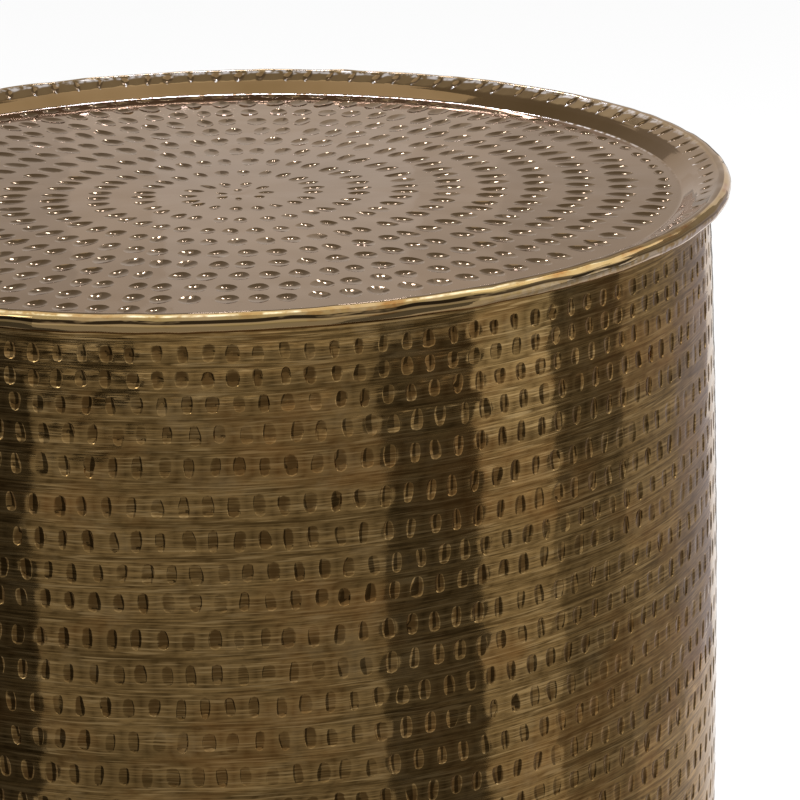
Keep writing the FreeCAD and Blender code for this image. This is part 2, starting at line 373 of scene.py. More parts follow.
def hammered_wall():
    """Angle, height, radius, stain and crease of the wall's outer face, as lines from the bottom to the top.

    Each mark has its own cell of the grid. Its depth grows evenly over the width of its side from the outline
    inwards, then only a little more to the middle, and the sheet stands up a little between it and the next.
    The rows are staggered by chance, and the lines between two rows lie halfway between their marks. The
    stain is the depth, and below nothing on the worn outline. The sheet is a little uneven, except at the
    seams of the bands.
    """
    rows = len(ROW_HEIGHTS)
    columns = MARKS_PER_ROW * (len(WALL_ACROSS) + 1)
    shape = (rows, 1, MARKS_PER_ROW, 1)
    spacing = np.diff(ROW_HEIGHTS)
    room = np.minimum(np.append(spacing, spacing[-1]), np.append(spacing[0], spacing)).reshape(-1, 1, 1, 1)
    half_width = WALL_MARK_HALF_WIDTH * chance.uniform(0.78, 1.15, shape)
    half_length = np.minimum(WALL_MARK_HALF_LENGTH, 0.38 * room) * chance.uniform(0.85, 1.03, shape)
    depth = WALL_MARK_DEPTH * chance.uniform(0.35, 1.35, shape)
    lean = scatter(0.08, 0.14, shape)
    taper = scatter(0.12, 0.2, shape)
    sideways, upward = scatter(0.4, 0.8, (2,) + shape)
    stagger = np.cumsum(chance.uniform(-0.5, 0.5, rows)).reshape(-1, 1, 1, 1)
    place = np.arange(MARKS_PER_ROW).reshape(1, 1, -1, 1)
    middle = (place + stagger + scatter(0.04, 0.07, shape)) * TURN / MARKS_PER_ROW
    height = ROW_HEIGHTS.reshape(-1, 1, 1, 1) + row_sway(middle) + scatter(0.25, 0.35, shape)

    x, y, level = [grid[None, :, None, :] for grid in mark_lines(WALL_ACROSS, WALL_ALONG, WALL_MARK_POWER)]
    across, along = [grid[None, :, None, :] for grid in np.meshgrid(WALL_ACROSS, WALL_ALONG)]
    side = x * half_width * (1 + taper * y)
    rise = y * half_length
    angle = middle + (side * np.cos(lean) - rise * np.sin(lean)) / WALL_MARK_CIRCLE
    z = height + rise * np.cos(lean) + side * np.sin(lean)
    inward = np.minimum((1 - np.abs(across)) * WALL_MARK_HALF_WIDTH,
                        (1 - np.abs(along)) * WALL_MARK_HALF_LENGTH)
    bowl = 0.8 * np.clip(inward / WALL_MARK_SIDE, 0, 1) + 0.2 * np.clip(1 - level ** 2, 0, 1)
    hollow = bowl * (1 + sideways * x + upward * y)
    stain_and_shade = hollow * depth / WALL_MARK_DEPTH + np.where(level >= 1, WORN_OUTLINE, 0.0)
    outline = np.broadcast_to(level == 1, hollow.shape)

    before = np.roll(middle, 1, axis=2)
    before[:, :, 0] -= TURN
    edge_along = WALL_ALONG.reshape(1, -1, 1, 1)
    edge_z = height + edge_along * BETWEEN_SHARE * half_length
    edge_angle = np.broadcast_to((before + middle) / 2, edge_z.shape)
    ridge = np.broadcast_to(-WALL_RIDGE * (1.2 - edge_along ** 2), edge_z.shape)

    def in_rows(edges, marks):
        return np.concatenate([edges, marks], axis=3).reshape(rows, -1, columns)

    def in_lines(edges, marks, between):
        joined = np.concatenate([between[:-1, None], in_rows(edges, marks)], axis=1)
        return np.concatenate([joined.reshape(-1, columns), between[-1:]])

    row_angle = in_rows(edge_angle, angle)
    between_angle = np.concatenate([
        row_angle[:1, 0], (row_angle[:-1, -1] + row_angle[1:, 0]) / 2, row_angle[-1:, -1],
    ])
    ends = np.concatenate([
        [ROW_HEIGHTS[0] - BELOW_ROWS],
        (ROW_HEIGHTS[:-1] + ROW_HEIGHTS[1:]) / 2,
        [ROW_HEIGHTS[-1] + ABOVE_ROWS],
    ])
    between_z = ends[:, None] + row_sway(between_angle)
    nothing = np.zeros_like(between_z)
    angle = in_lines(edge_angle, angle, between_angle)
    z = in_lines(edge_z, z, between_z)
    dent = in_lines(ridge, hollow * depth, nothing)
    stain_and_shade = in_lines(0 * ridge, stain_and_shade, nothing)
    crease = in_lines(0 * ridge, outline, nothing) > 0
    seams = ends[BAND_ROWS]
    band = np.clip(np.searchsorted(seams, z) - 1, 0, len(seams) - 2)
    through = (z - seams[band]) / (seams[band + 1] - seams[band])
    calm = np.clip(1 - (2 * through - 1) ** 6, 0, 1) ** 2
    uneven = 0.09 * waves(angle, z, 9, 0.20, 2, 26) + 0.065 * waves(angle, z, 10, 0.45, 8, 70)
    return angle, z, wall_radius(z) - dent + calm * uneven, stain_and_shade, crease


def wall_lines(section, angle):
    """A section along the bowed wall, of distances inwards and heights, carried round."""
    inset, height = np.array(section).T[:, :, None]
    return on_circle(wall_radius(height) - inset, angle[None, :], height)


def add_wall(material):
    """The wall in closed bands, one above the other.

    A band has the hammered face outside and a plain face inside. The end bands have a folded hem.
    """
    angle, z, radius, stain_and_shade, crease = hammered_wall()
    step = len(WALL_ALONG) + 1
    for band, (first, last) in enumerate(zip(BAND_ROWS[:-1], BAND_ROWS[1:])):
        lines = slice(first * step, last * step + 1)
        lowest, highest = first == 0, last == len(ROW_HEIGHTS)
        outer_angle = angle[lines]
        face = on_circle(radius[lines], outer_angle, z[lines])
        columns = face.shape[1]
        low, high = z[lines][0].mean(), PLAIN_TOP if highest else z[lines][-1].mean()
        inside = [(WALL_SHEET, height) for height in np.linspace(high, low, PLAIN_LINES)]
        outer, before = [face], 0
        if highest:
            inside = TOP_HEM_INSIDE + inside
            outer.append(wall_lines(TOP_HEM_OUTSIDE, outer_angle[-1]))
        if lowest:
            inside = inside[:-1] + BOTTOM_HEM_INSIDE
            outer.insert(0, wall_lines(BOTTOM_HEM_OUTSIDE, outer_angle[0]))
            before = len(BOTTOM_HEM_OUTSIDE) * columns
        outer = np.concatenate(outer)
        inner_angle = outer_angle[0, 0] + TURN * np.arange(PLAIN_COLUMNS) / PLAIN_COLUMNS
        inner = wall_lines(inside, inner_angle)
        points = np.concatenate([outer.reshape(-1, 3), inner.reshape(-1, 3)])
        count = len(outer) * columns
        outer_ring = np.arange(columns)
        outer_last = outer_ring + count - columns
        inner_ring = np.arange(PLAIN_COLUMNS) + count
        inner_last = inner_ring + (len(inner) - 1) * PLAIN_COLUMNS
        blocks = [
            sheet_faces(0, len(outer), columns),
            sheet_faces(count, len(inner), PLAIN_COLUMNS),
            zip_faces(*closed(outer_last, outer_angle[-1]), *closed(inner_ring, inner_angle)),
            zip_faces(*closed(inner_last, inner_angle), *closed(outer_ring, outer_angle[0])),
        ]
        on_face = slice(before, before + len(face) * columns)
        dent = np.zeros(len(points))
        dent[on_face] = stain_and_shade[lines].ravel()
        outline = np.zeros(len(points), bool)
        outline[on_face] = crease[lines].ravel()
        name = f"drum_wall_band_{band + 1}"
        piece = add_piece(name, points, blocks, material, "antique_brass", "drum", ["drum_wall"], dent=dent)
        add_creases(piece, outline)


def floor_spiral(turn):
    """Angle, radius, centre and sizes of the marks after some turns along the spiral from its outer end.

    The radius falls by its pitch in a turn, a little more towards the middle, and levels off there. The
    centre wanders from the back right to the front right. The outer marks keep off the lip.
    """
    angle = FLOOR_START + TURN * (1 - turn)
    centre_x, centre_y = [centre + drift * turn for centre, drift in zip(SPIRAL_CENTRE, SPIRAL_DRIFT)]
    radius = np.maximum(SPIRAL_RADIUS - SPIRAL_PITCH * turn - SPIRAL_TIGHTENING * turn ** 2,
                        SPIRAL_LEAST + SPIRAL_LEAST_PITCH * (FLOOR_TURNS - turn))
    off_centre = centre_x * np.cos(angle) + centre_y * np.sin(angle)
    radius = radius - np.maximum(radius + off_centre - FLOOR_LIMIT, 0)
    half_width, half_length, depth = [
        np.interp(radius, FLOOR_SIZES[:, 0], sizes) for sizes in FLOOR_SIZES.T[2:]
    ]
    longest = (FLOOR_REACH - radius - off_centre) / LENGTH_MARGIN
    half_length = np.minimum(half_length * (1 + LONGER_AT_BACK * np.sin(angle)), longest)
    return angle, radius, centre_x, centre_y, half_width, half_length, depth


def floor_marks():
    """Angle, points, dent and crease of the spiral of marks on the tray floor, as lines from outside inwards.

    The columns go from the inner end to the outer end. A mark's depth grows evenly over the width of its side
    from the outline inwards, then only a little more to the middle, and its bottom tilts by chance. Some
    marks are bent or have one broad end.
    """
    turns = np.linspace(0, FLOOR_TURNS, 4000)
    radius = floor_spiral(turns)[1]
    passed = np.cumsum(TURN * radius / np.interp(radius, FLOOR_SIZES[:, 0], FLOOR_SIZES[:, 1])) * turns[1]
    count = int(passed[-1])
    shape = (1, count, 1)
    place = np.arange(count)[::-1].reshape(shape) + 0.5 + scatter(0.07, 0.12, shape)
    turn = np.interp(place, passed, turns)
    first, last = 1.5 * turn[:, :1] - 0.5 * turn[:, 1:2], 1.5 * turn[:, -1:] - 0.5 * turn[:, -2:-1]
    edge = np.concatenate([first, (turn[:, :-1] + turn[:, 1:]) / 2, last], axis=1)
    middle, radius, centre_x, centre_y, half_width, half_length, depth = floor_spiral(turn)
    room = TURN * radius * np.minimum(edge[:, :-1] - turn, turn - edge[:, 1:])
    wide = half_width * chance.uniform(0.84, 1.08, shape)
    long = half_length * chance.uniform(0.84, 1.0, shape)
    deep = depth * chance.uniform(0.78, 1.03, shape)
    lean = scatter(0.06, 0.07, shape)
    taper = scatter(0.14, 0.2, shape)
    bend = scatter(0.12, 0.12, shape)
    wide = np.minimum(wide, (room - abs(lean) * long) / (WIDTH_MARGIN + abs(bend)))
    stray = scatter(0.25, 0.3, shape)
    sideways, upward = scatter(0.3, 0.5, (2,) + shape)

    x, y, level = [grid[:, None, :] for grid in mark_lines(FLOOR_ACROSS, FLOOR_ALONG, FLOOR_MARK_POWER)]
    side = (x * (1 + taper * y) + bend * y ** 2) * wide
    out = y * long
    angle = middle + (side * np.cos(lean) - out * np.sin(lean)) / radius
    spread = radius + stray + out * np.cos(lean) + side * np.sin(lean)
    bowl = 0.85 * np.clip((1 - level) / FLOOR_MARK_SIDE, 0, 1) + 0.15 * np.clip(1 - level ** 2, 0, 1)
    hollow = bowl * deep * (1 + sideways * x + upward * y) / (1 + 0.5 * (abs(sideways) + abs(upward)))
    marks = on_circle(spread, angle, FLOOR_TOP - hollow)
    marks[..., 0] += centre_x
    marks[..., 1] += centre_y
    edge_angle, radius, centre_x, centre_y, _, half_length, _ = floor_spiral(edge)
    edge_spread = radius + FLOOR_ALONG.reshape(-1, 1, 1) * FLOOR_BETWEEN_SHARE * half_length
    edges = on_circle(edge_spread, edge_angle, FLOOR_TOP)
    edges[..., 0] += centre_x
    edges[..., 1] += centre_y

    def strip(between, within):
        lines = len(FLOOR_ALONG)
        joined = np.concatenate([between[:, :-1], within], axis=2).reshape(lines, -1, *between.shape[3:])
        return np.concatenate([joined, between[:, -1]], axis=1)

    nothing = np.zeros_like(edge_spread)
    outline = np.broadcast_to(level == 1, hollow.shape)
    pairs = (edge_angle + nothing, angle), (edges, marks), (nothing, hollow), (nothing, outline)
    return [strip(*pair) for pair in pairs]


def add_tray_floor(material):
    """The tray's flat floor: the spiral of marks zipped turn to turn, a flat underside, and a closed edge.

    The spiral's outer side over its last turn, and its end, meet the floor's edge. Its inner side over the
    first turn, and its start, meet a small ring in the middle. The floor is a little uneven, except near its
    edge.
    """
    angle, marks, dent, crease = floor_marks()
    lines, columns = angle.shape
    uneven = FLOOR_UNEVEN * ripples(marks[..., 0], marks[..., 1], 14, 16, 40)
    calm = np.clip((FLOOR_CALM - np.hypot(marks[..., 0], marks[..., 1])) / FLOOR_CALM_WIDTH, 0, 1)
    marks[..., 2] += np.clip(uneven, -FLOOR_UNEVEN_MOST, FLOOR_UNEVEN_MOST) * calm
    grid = np.arange(lines * columns).reshape(lines, columns)
    outside = floor_spiral((FLOOR_START - angle[0]) / TURN)
    seen = bearings(marks[0], outside[2], outside[3], angle[0, 0] + TURN)
    around = bearings(marks[0], 0, 0, angle[0, 0])
    inward = np.searchsorted(angle[-1], angle[-1, 0] + TURN - 0.25) - 1
    outward = np.searchsorted(around, around[-1] - TURN + 0.02)
    down = np.linspace(0.005, 0.04, lines - 1)
    outer_loop = np.append(grid[0, outward:], grid[1:, -1]), np.append(around[outward:], around[-1] + down)
    inner_loop = (np.append(grid[-1, :inward + 1], grid[:-1, 0]),
                  np.append(angle[-1, :inward + 1], angle[0, 0] + TURN - 5 * down[::-1]))
    blocks = [
        np.stack([grid[:-1, :-1], grid[:-1, 1:], grid[1:, 1:], grid[1:, :-1]], axis=-1).reshape(-1, 4),
        zip_faces(grid[-1, inward:], angle[-1, inward:], grid[0, :outward + 1], seen[:outward + 1]),
    ]
    points = [marks.reshape(-1, 3)]
    first = grid.size
    before = None
    for radius, height, count in FLOOR_RINGS:
        turning = around[outward] + TURN * np.arange(count) / count
        ring = closed(first + np.arange(count), turning)
        points.append(on_circle(radius, turning, height))
        first += count
        if before is None:
            blocks.append(fan_faces(first, ring[0][:-1])[:, ::-1])
            points.append(np.array([[0, 0, FLOOR_UNDER]]))
            first += 1
        else:
            blocks.append(zip_faces(*before, *ring))
        before = ring
    blocks.append(zip_faces(*before, *closed(*outer_loop)))
    centre = np.array([*floor_spiral(FLOOR_TURNS)[2:4], 0])
    turning = angle[-1, 0] + TURN * np.arange(MIDDLE_POINTS) / MIDDLE_POINTS
    ring = first + np.arange(MIDDLE_POINTS)
    blocks.append(zip_faces(*closed(*inner_loop), *closed(ring, turning)))
    blocks.append(fan_faces(first + MIDDLE_POINTS, ring))
    points.append(on_circle(MIDDLE_RADIUS, turning, FLOOR_TOP) + centre)
    points.append(np.array([[0, 0, FLOOR_TOP - MIDDLE_DIP]]) + centre)
    points = np.concatenate(points)
    plain = np.zeros(len(points) - grid.size)
    piece = add_piece("tray_floor", points, blocks, material, "antique_brass", "tray", ["tray_pan"],
                      dent=np.append(dent.ravel(), plain))
    add_creases(piece, np.append(crease.ravel(), plain) > 0)


def nicked_shelf(shelf, shelf_down):
    """Angle, drop and points of the lip's shelf with its row of nicks, as lines from the rim inwards.

    Each nick has its own cell of the grid. Its depth is one less the level.
    """
    x, y, level = [grid[:, None, :] for grid in mark_lines(FLOOR_ACROSS, FLOOR_ALONG, NICK_POWER)]
    shape = (1, LIP_NICKS, 1)
    middle = (np.arange(LIP_NICKS).reshape(shape) + chance.normal(0, 0.09, shape)) * TURN / LIP_NICKS
    wide = NICK_HALF_WIDTH * chance.uniform(0.7, 1.35, shape)
    long = NICK_HALF_LENGTH * chance.uniform(0.75, 1.05, shape)
    deep = NICK_DEPTH * chance.uniform(0.7, 1.3, shape)
    lean = chance.normal(0.18, 0.10, shape)
    side, out = x * wide, y * long
    nick_angle = middle + (side * np.cos(lean) - out * np.sin(lean)) / NICK_CIRCLE
    nick_along = NICK_MIDDLE + chance.normal(0, 0.2, shape) + out * np.cos(lean) + side * np.sin(lean)
    nick_drop = np.clip(1 - level, 0, 1) * deep
    before = np.roll(middle, 1, axis=1)
    before[:, 0] -= TURN
    edge_angle = np.broadcast_to((before + middle) / 2, (len(FLOOR_ALONG), LIP_NICKS, 1))
    edge_along = NICK_MIDDLE + FLOOR_ALONG.reshape(-1, 1, 1) * BETWEEN_SHARE * NICK_HALF_LENGTH
    edge_along = np.broadcast_to(edge_along, edge_angle.shape)
    columns = LIP_NICKS * (len(FLOOR_ACROSS) + 1)
    angle, along, drop = [np.concatenate(pair, axis=2).reshape(-1, columns) for pair in (
        (edge_angle, nick_angle), (edge_along, nick_along), (np.zeros_like(edge_along), nick_drop))]
    points = on_circle(LIP_RIDGE[0] + along * shelf[0] + drop * shelf_down[0], angle,
                       LIP_RIDGE[1] + along * shelf[1] + drop * shelf_down[1])
    return angle, drop, points


def rolled_rim(round_angle):
    """Points of the outside of the rim's roll, as lines from its end under the rim to the shelf.

    The roll is a circle carried round. It swells, lifts and flattens a little by chance, and a seam that
    wanders up and down is pressed into its side.
    """
    def uneven(count, slowest, fastest):
        return waves(round_angle, 0 * round_angle, count, 0, slowest, fastest)[None, :]

    roll = ROLL[:, None]
    degrees = np.degrees(roll)
    swell = 0.11 * uneven(12, 6, 120)
    lift = 0.10 * uneven(9, 3, 45)
    flats = 0.04 * np.sin(3.5 * roll + 3 * uneven(5, 4, 40))
    loose = np.clip((roll + np.pi) / 1.2, 0, 1) * np.clip((roll[-1] - roll) / 0.5, 0, 1)
    out_by = RIM_RADIUS + loose * np.clip(swell + flats, -0.3, 0.25)
    out_by[np.abs(degrees - SEAM_DEGREES).argmin()] -= SEAM_DEPTH
    wander = np.radians(5) * uneven(9, 5, 90)
    turn = roll + np.exp(-((degrees - 20) / 26) ** 2) * np.clip(wander, -0.14, 0.14)
    height = RIM_CENTRE[1] + out_by * np.sin(turn) + loose * np.clip(lift, -0.2, 0.12)
    return on_circle(RIM_CENTRE[0] + out_by * np.cos(turn), round_angle[None, :], height)


def rim_wear_and_light(shape, roll_start, drop, round_angle):
    """Stain, wear, painted shade and painted highlights of the rim's points, by line of the section and by
    angle.

    Stained are the nicks by their depth. The seam gets a dark line of painted shade, weaker at the right.
    Worn is the roll's crest, with a painted highlight on its core, a little less at the right; painted
    highlights are also on the roll's side and on a second line below the seam. Painted light makes the roll's
    inner top lighter except at the front, and the shelf beside the nicks lighter at the back. Near-white
    painted highlights are on the lip's bend, brightest at the back, on the shelf's outer edge at the back, on
    the roll's side at the right, and on the nicks' inner ends.
    """
    stain_and_shade, worn, polish = np.zeros((3,) + shape)
    degrees = np.degrees(ROLL)
    start = roll_start + len(ROLL)
    roll, shelf = slice(roll_start, start), slice(start, start + len(drop))
    cell = len(FLOOR_ACROSS) + 1
    beside = np.tile(BESIDE_NICK, LIP_NICKS)
    right = np.clip(2.2 * np.cos(round_angle) - 0.9, 0, 1)
    back = 3 * np.sin(round_angle) - 0.4

    stain_and_shade[shelf] = drop / NICK_DEPTH
    # painted shade: a dark line along the pressed seam, weaker at the right
    stain_and_shade[roll][(degrees > 9) & (degrees < 30)] = 2 - 0.55 * right
    stain_and_shade[roll][degrees > 78] = 0.05

    # worn gold on the crest, its core a painted highlight; painted highlights on the roll's side and a second
    # line below the seam, a little dimmer at the right
    crest = 0.8 * np.clip(4 - 4 * ((degrees - 46) / 27) ** 2, 0, 1)
    crest = crest + 0.2 * np.clip(1.5 - ((degrees - 58) / 9) ** 2, 0, 1)
    side = 0.4 * np.clip((degrees + 75) / 25, 0, 1) * np.clip((12 - degrees) / 8, 0, 1)
    second = 0.75 * np.clip(1.5 - ((degrees + 2) / 7) ** 2, 0, 1)
    worn[roll] = np.maximum(crest, np.maximum(side, second))[:, None] * (1 - 0.18 * right)
    # painted light: the roll's inner top lighter except at the front, and the shelf beside the nicks lighter
    # at the back
    worn[roll][degrees > 72] = 0.22 * np.clip(back + 1, 0, 1)
    worn[shelf] = 0.16 * beside * np.clip(back, 0, 1)

    # painted highlights: the lip's bend brightest at the back, the roll's side at the right, the nicks' inner
    # ends, and the shelf's outer edge at the back
    bend = 1 + 1.6 * np.exp(-((round_angle - 1.59) / 0.2) ** 4)
    polish[[-3, -4]] = bend * np.clip(back, 0.1, 1) * np.clip(5 * (2.1 - round_angle), 0.1, 1)
    polish[roll][(degrees > -75) & (degrees < 9)] = 0.32 * right
    polish[shelf][-2:, cell // 2::cell] = 1.6
    polish[start - 2:start + 2] = beside * np.clip(1.6 * np.sin(round_angle) - 0.1, 0, 1)
    return stain_and_shade, worn, polish


def add_tray_rim(material):
    """The flared lip with its nicks and the rim rolled over the wire, as one closed section carried round.

    The section goes out under the lip, round inside the roll, back round outside it, in over the nicked
    shelf, and down the lip's slope to the floor.
    """
    shelf_end = RIM_CENTRE + RIM_RADIUS * np.array([np.cos(ROLL[-1]), np.sin(ROLL[-1])])
    shelf = (shelf_end - LIP_RIDGE) / np.linalg.norm(shelf_end - LIP_RIDGE)
    shelf_down = np.array([shelf[1], -shelf[0]])
    slope = (LIP_RIDGE - LIP_CORNER) / np.linalg.norm(LIP_RIDGE - LIP_CORNER)
    slope_down = np.array([slope[1], -slope[0]])
    angle, drop, nick_points = nicked_shelf(shelf, shelf_down)
    round_angle = angle.mean(axis=0)

    steep = np.arctan2(slope[1], slope[0])
    bend = np.linspace(0, steep, LIP_BEND_LINES)
    bend_start = LIP_CORNER[0] - LIP_BEND * np.tan(steep / 2)
    turn_in = np.stack([np.sin(bend), 1 - np.cos(bend)], axis=1)
    upper = np.array([bend_start, LIP_CORNER[1]]) + LIP_BEND * turn_in
    under = np.array([bend_start, FLOOR_UNDER]) + (LIP_BEND + TRAY_SHEET) * turn_in
    ridge_under = LIP_RIDGE + TRAY_SHEET * (slope_down + shelf_down) / 2
    inside = np.linspace(np.arctan2(shelf[1], shelf[0]) + np.pi / 2, ROLL[0], CURL_LINES)
    curl = RIM_CENTRE + (RIM_RADIUS - TRAY_SHEET) * np.stack([np.cos(inside), np.sin(inside)], axis=1)
    beneath = np.concatenate([[[FLOOR_EDGE, FLOOR_UNDER]], under, [ridge_under], curl])
    ridge = LIP_RIDGE + np.array([0.55 * shelf, 0.12 * shelf_down, -0.55 * slope, -2.2 * slope])
    above = np.concatenate([ridge, upper[::-1], [[FLOOR_EDGE, FLOOR_TOP]]])

    def turned(section):
        return on_circle(section[:, :1], round_angle[None, :], section[:, 1:])

    lines = np.concatenate([turned(beneath), rolled_rim(round_angle), nick_points, turned(above)])
    count, columns = lines.shape[:2]
    ring = np.arange(columns)
    blocks = [
        sheet_faces(0, count, columns),
        zip_faces(*closed(ring + columns * (count - 1), round_angle), *closed(ring, round_angle)),
    ]
    stain_and_shade, worn, polish = rim_wear_and_light(lines.shape[:2], len(beneath), drop, round_angle)
    add_piece("tray_rim", lines.reshape(-1, 3), blocks, material, "antique_brass", "tray", ["tray_pan"],
              dent=stain_and_shade.ravel(), worn=worn.ravel(), polish=polish.ravel())


def add_pads(material):
    """Felt pads on the ledge, each a low disc with a soft edge: one section carried round the pad's axis."""
    around = TURN * np.arange(PAD_COLUMNS) / PAD_COLUMNS
    height = PAD_BOTTOM + (PAD_TOP - PAD_BOTTOM) * PAD_SECTION[:, 1:]
    rings = on_circle(PAD_RADIUS * PAD_SECTION[:, :1], around[None, :], height)
    disc = np.concatenate([rings.reshape(-1, 3), [[0, 0, PAD_BOTTOM], [0, 0, PAD_TOP]]])
    lines = len(PAD_SECTION)
    low_centre = lines * PAD_COLUMNS
    points, blocks = [], []
    for number, turn in enumerate(TURN * np.arange(PADS) / PADS):
        first = number * len(disc)
        low_ring = first + np.arange(PAD_COLUMNS)
        blocks.append(sheet_faces(first, lines, PAD_COLUMNS))
        blocks.append(fan_faces(first + low_centre, low_ring)[:, ::-1])
        blocks.append(fan_faces(first + low_centre + 1, low_ring + PAD_COLUMNS * (lines - 1)))
        points.append(disc + PAD_CIRCLE * np.array([np.cos(turn), np.sin(turn), 0]))
    add_piece("felt_pads", np.concatenate(points), blocks, material, "felt", "drum", ["ledge_pads"])


class Finish:
    """A material's node graph, built up from the shader."""

    def __init__(self, name):
        self.material = bpy.data.materials.new(name)
        self.material.use_nodes = True
        self.tree = self.material.node_tree
        self.shader = self.tree.nodes["Principled BSDF"]
        self.place = self.add("ShaderNodeTexCoord").outputs["Object"]

    def add(self, kind, settings=None, **inputs):
        """A node with its settings. An input is a socket to link, or a constant."""
        node = self.tree.nodes.new(kind)
        for key, value in (settings or {}).items():
            setattr(node, key, value)
        for key, value in inputs.items():
            self.put(node.inputs[int(key[1:]) if key[1:].isdigit() else key.replace("_", " ")], value)
        return node

    def put(self, socket, value):
        """Links a socket to another one, or sets it to a constant."""
        if isinstance(value, bpy.types.NodeSocket):
            self.tree.links.new(value, socket)
        else:
            socket.default_value = value

    def set(self, **inputs):
        """Puts values into the shader."""
        for key, value in inputs.items():
            self.put(self.shader.inputs[key.replace("_", " ")], value)

    def noise(self, stretch, detail=3.0, rough=0.55):
        """Noise at a scale along each axis, per metre."""
        moved = self.add("ShaderNodeMapping", Vector=self.place, Scale=stretch).outputs["Vector"]
        return self.add("ShaderNodeTexNoise", Vector=moved, Scale=1.0, Detail=detail,
                        Roughness=rough).outputs[0]

    def spread(self, value, low, high, to_low=0.0, to_high=1.0):
        """A value between two limits, brought to another range."""
        return self.add("ShaderNodeMapRange", Value=value, From_Min=low, From_Max=high,
                        To_Min=to_low, To_Max=to_high).outputs[0]

    def blend(self, share, first, second):
        """A colour between two, by a share."""
        return self.add("ShaderNodeMix", {"data_type": "RGBA"}, _0=share, _6=first, _7=second).outputs[2]

    def times(self, first, second):
        return self.add("ShaderNodeMath", {"operation": "MULTIPLY"}, _0=first, _1=second).outputs[0]

    def plus(self, first, second):
        return self.add("ShaderNodeMath", {"operation": "ADD"}, _0=first, _1=second).outputs[0]

    def attribute(self, name):
        return self.add("ShaderNodeAttribute", {"attribute_name": name}).outputs["Fac"]

    def bump(self, height, distance):
        """Fine relief of a height in metres."""
        relief = self.add("ShaderNodeBump", Height=height, Strength=1.0, Distance=distance)
        self.set(Normal=relief.outputs["Normal"])


def wall_brass():
    """Antique brass of the wall: fine level brush lines, pale level streaks of painted highlight, brown in
    the marks, reddish and pale patches.
    """
    look = Finish("antique_brass_wall")
    brush = look.noise((40, 40, 1500), 2, 0.6)
    lines = look.noise((16, 16, 380), 2, 0.6)
    painted_highlight_streaks = look.noise((50, 50, 1150), 1, 0.5)
    grain = look.noise((260, 260, 900), 2, 0.6)
    patch = look.noise((16, 16, 30), 4, 0.6)
    smudge = look.noise((10, 10, 55), 4, 0.6)
    blotch = look.noise((42, 42, 60), 4, 0.7)
    dent = look.attribute("dent")
    tone = look.blend(look.spread(brush, 0.39, 0.61), (0.10, 0.06, 0.021, 1), (0.30, 0.19, 0.072, 1))
    # Each layer begins at one value of its noise, is full at another, and has a largest share and a colour
    for noise, begin, full, most, colour in (
        (grain, 0.45, 0.70, 0.45, (0.09, 0.053, 0.018, 1)),
        (lines, 0.50, 0.64, 0.45, (0.08, 0.047, 0.015, 1)),
        (smudge, 0.50, 0.68, 0.5, (0.06, 0.036, 0.012, 1)),
        # painted highlight: thin pale level streaks that stand in for reflected light
        (painted_highlight_streaks, 0.57, 0.66, 0.55, (0.48, 0.33, 0.15, 1)),
        (patch, 0.50, 0.70, 0.5, (0.24, 0.108, 0.03, 1)),
        (blotch, 0.54, 0.70, 0.4, (0.33, 0.23, 0.11, 1)),
    ):
        tone = look.blend(look.spread(noise, begin, full, 0.0, most), tone, colour)
    patina = look.spread(look.noise((14, 14, 60), 3, 0.6), 0.42, 0.58, 0.25, 0.85)
    tone = look.blend(look.times(look.spread(dent, 0.1, 0.7), patina), tone, (0.085, 0.046, 0.015, 1))
    tone = look.blend(look.spread(dent, 0.0, WORN_OUTLINE, 0.0, 0.3), tone, (0.36, 0.23, 0.09, 1))
    look.set(Base_Color=tone, Specular_Tint=(1, 0.9, 0.82, 1), Metallic=1.0,
             Roughness=look.spread(brush, 0.3, 0.7, 0.05, 0.11))
    look.bump(look.plus(brush, look.times(lines, 2.5)), 0.00002)
    return look.material


